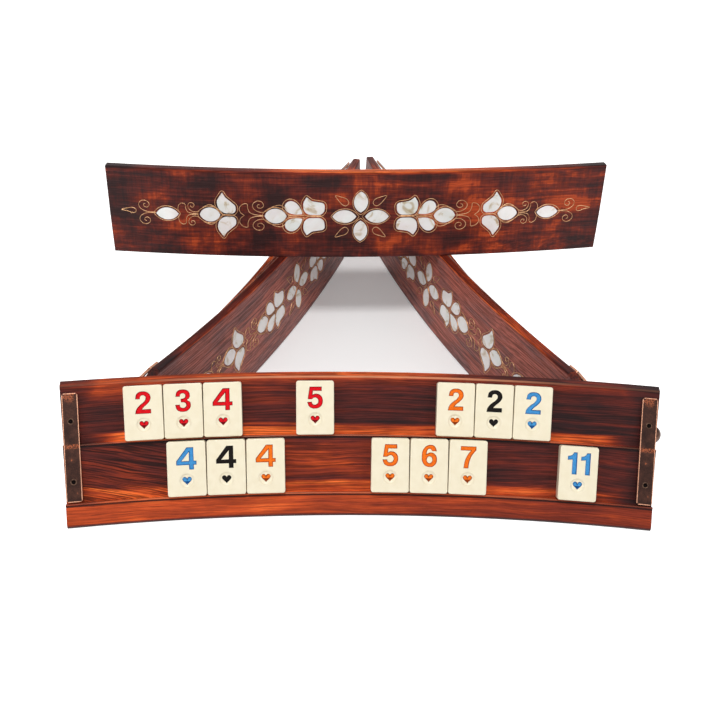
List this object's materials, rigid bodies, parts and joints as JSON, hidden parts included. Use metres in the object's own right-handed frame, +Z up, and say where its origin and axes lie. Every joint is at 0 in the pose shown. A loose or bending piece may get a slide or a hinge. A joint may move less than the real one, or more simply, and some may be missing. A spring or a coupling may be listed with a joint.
{
  "type": "rummy tile rack set",
  "caption": "Set of bowed wooden two-tier tile racks with pearl inlaid backs and copper end straps, stacked as an A, with loose numbered tiles on the front rack.",
  "frame": {"origin": "on the table under the middle of the front rack, plumb below its back top edge", "axes": "+X to the right of the player at the front rack, +Y away from the player, +Z up"},
  "size_m": [0.3814, 0.4451, 0.1389],
  "materials": {
    "wood": "torch burnt, stained and lacquered open grained hardwood",
    "pearl": "polished mother of pearl",
    "copper": "browned copper with bright worn edges",
    "screw": "blackened steel",
    "tile": "cream melamine, satin",
    "wire": "fine brass wire set flush in the wood",
    "paint": "coloured fill of engraved numbers"
  },
  "bodies": {
    "left_rack": {"left_rack_wood": "wood", "left_pearl_inlay": "pearl", "left_strap_left": "copper", "left_strap_right": "copper", "left_strap_screws": "screw", "left_end_stud": "copper"},
    "front_rack": {"front_rack_wood": "wood", "front_pearl_inlay": "pearl", "front_strap_left": "copper", "front_strap_right": "copper", "front_strap_screws": "screw", "front_end_stud": "copper"},
    "right_rack": {"right_rack_wood": "wood", "right_pearl_inlay": "pearl", "right_strap_left": "copper", "right_strap_right": "copper", "right_strap_screws": "screw", "right_end_stud": "copper"},
    "far_rack": {"far_rack_wood": "wood", "far_pearl_inlay": "pearl", "far_strap_left": "copper", "far_strap_right": "copper", "far_strap_screws": "screw", "far_end_stud": "copper"},
    "tile_upper_2_red": {"tile_upper_2_red": "tile"},
    "tile_upper_3_red": {"tile_upper_3_red": "tile"},
    "tile_upper_4_red": {"tile_upper_4_red": "tile"},
    "tile_upper_5_red": {"tile_upper_5_red": "tile"},
    "tile_upper_2_orange": {"tile_upper_2_orange": "tile"},
    "tile_upper_2_black": {"tile_upper_2_black": "tile"},
    "tile_upper_2_blue": {"tile_upper_2_blue": "tile"},
    "tile_lower_4_blue": {"tile_lower_4_blue": "tile"},
    "tile_lower_4_black": {"tile_lower_4_black": "tile"},
    "tile_lower_4_orange": {"tile_lower_4_orange": "tile"},
    "tile_lower_5_orange": {"tile_lower_5_orange": "tile"},
    "tile_lower_6_orange": {"tile_lower_6_orange": "tile"},
    "tile_lower_7_orange": {"tile_lower_7_orange": "tile"},
    "tile_lower_11_blue": {"tile_lower_11_blue": "tile"}
  },
  "joints": [
    {"name": "front_rack_slide", "type": "slide", "parent": "left_rack", "child": "front_rack", "axis": [0, -1, 0], "range_m": [0, 0.1]},
    {"name": "right_rack_slide", "type": "slide", "parent": "left_rack", "child": "right_rack", "axis": [1, 0, 0], "range_m": [0, 0.05]},
    {"name": "far_rack_lift", "type": "slide", "parent": "left_rack", "child": "far_rack", "axis": [0, 0, 1], "range_m": [0, 0.1]},
    {"name": "tile_upper_2_red_lift", "type": "slide", "parent": "front_rack", "child": "tile_upper_2_red", "axis": [0.0706, -0.8172, 0.572], "range_m": [0, 0.03]},
    {"name": "tile_upper_3_red_lift", "type": "slide", "parent": "front_rack", "child": "tile_upper_3_red", "axis": [0.0706, -0.8172, 0.572], "range_m": [0, 0.03]},
    {"name": "tile_upper_4_red_lift", "type": "slide", "parent": "front_rack", "child": "tile_upper_4_red", "axis": [0.0706, -0.8172, 0.572], "range_m": [0, 0.03]},
    {"name": "tile_upper_5_red_lift", "type": "slide", "parent": "front_rack", "child": "tile_upper_5_red", "axis": [0.0188, -0.8201, 0.572], "range_m": [0, 0.03]},
    {"name": "tile_upper_2_orange_lift", "type": "slide", "parent": "front_rack", "child": "tile_upper_2_orange", "axis": [-0.0522, -0.8186, 0.572], "range_m": [0, 0.03]},
    {"name": "tile_upper_2_black_lift", "type": "slide", "parent": "front_rack", "child": "tile_upper_2_black", "axis": [-0.0522, -0.8186, 0.572], "range_m": [0, 0.03]},
    {"name": "tile_upper_2_blue_lift", "type": "slide", "parent": "front_rack", "child": "tile_upper_2_blue", "axis": [-0.0522, -0.8186, 0.572], "range_m": [0, 0.03]},
    {"name": "tile_lower_4_blue_lift", "type": "slide", "parent": "front_rack", "child": "tile_lower_4_blue", "axis": [0.054, -0.8111, 0.5825], "range_m": [0, 0.03]},
    {"name": "tile_lower_4_black_lift", "type": "slide", "parent": "front_rack", "child": "tile_lower_4_black", "axis": [0.054, -0.8111, 0.5825], "range_m": [0, 0.03]},
    {"name": "tile_lower_4_orange_lift", "type": "slide", "parent": "front_rack", "child": "tile_lower_4_orange", "axis": [0.054, -0.8111, 0.5825], "range_m": [0, 0.03]},
    {"name": "tile_lower_5_orange_lift", "type": "slide", "parent": "front_rack", "child": "tile_lower_5_orange", "axis": [-0.0266, -0.8124, 0.5825], "range_m": [0, 0.03]},
    {"name": "tile_lower_6_orange_lift", "type": "slide", "parent": "front_rack", "child": "tile_lower_6_orange", "axis": [-0.0266, -0.8124, 0.5825], "range_m": [0, 0.03]},
    {"name": "tile_lower_7_orange_lift", "type": "slide", "parent": "front_rack", "child": "tile_lower_7_orange", "axis": [-0.0266, -0.8124, 0.5825], "range_m": [0, 0.03]},
    {"name": "tile_lower_11_blue_lift", "type": "slide", "parent": "front_rack", "child": "tile_lower_11_blue", "axis": [-0.0854, -0.8084, 0.5825], "range_m": [0, 0.03]}
  ]
}
